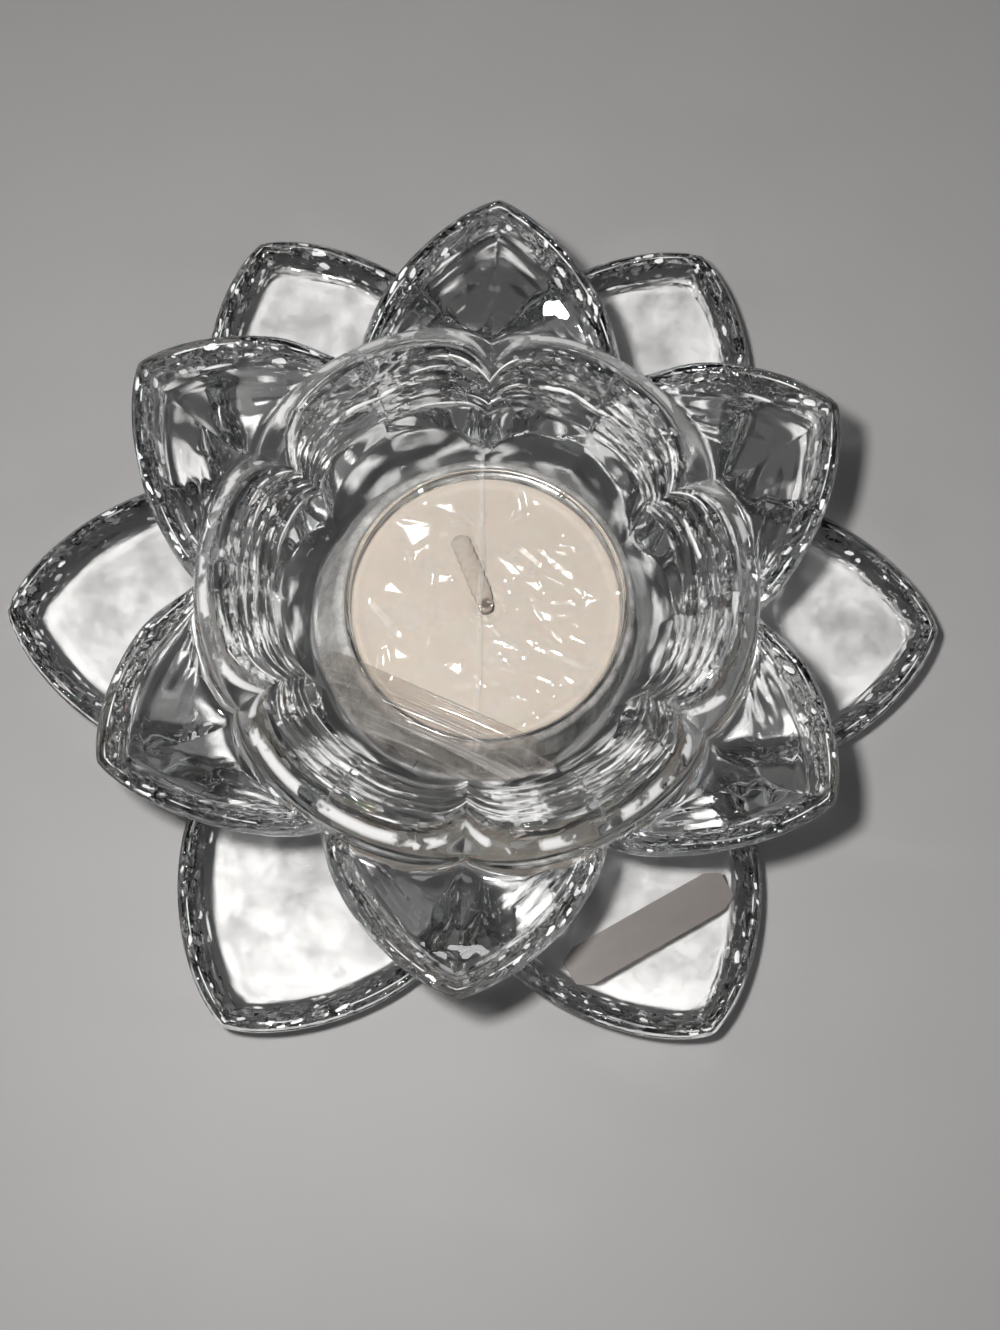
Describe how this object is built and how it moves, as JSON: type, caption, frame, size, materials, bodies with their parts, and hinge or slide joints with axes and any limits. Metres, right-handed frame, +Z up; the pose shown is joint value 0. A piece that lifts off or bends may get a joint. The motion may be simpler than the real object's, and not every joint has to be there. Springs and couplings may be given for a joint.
{
  "type": "lotus votive holder",
  "caption": "Clear glass lotus-flower candle holder: broad petals on the table, keeled petals round a fluted well, and a film-wrapped tealight loose in it.",
  "frame": {"origin": "on the table under the middle of the well", "axes": "+Z up, +X along the middle line of a saucer petal, +Y to the left of +X seen from above"},
  "size_m": [0.133, 0.1166, 0.0305],
  "materials": {
    "glass": "clear fire-polished pressed glass",
    "clear_bond": "clear cured adhesive",
    "label": "clear-grey film label, bare",
    "clear_cup": "clear moulded plastic",
    "wax": "ivory wax, satin",
    "wick_cotton": "waxed braided cotton",
    "foot_metal": "plain tinplate",
    "film": "clear shrink film, creased"
  },
  "bodies": {
    "holder": {"petal_saucer": "glass", "bond_disc": "clear_bond", "petal_bowl": "glass", "blank_label": "label"},
    "tealight": {"tealight_cup": "clear_cup", "tealight_wax": "wax", "wick_foot": "foot_metal", "wick": "wick_cotton", "film_wrapper": "film"}
  },
  "joints": [
    {"name": "candle_lift", "type": "slide", "parent": "holder", "child": "tealight", "axis": [0, 0, 1], "range_m": [0, 0.04]}
  ]
}
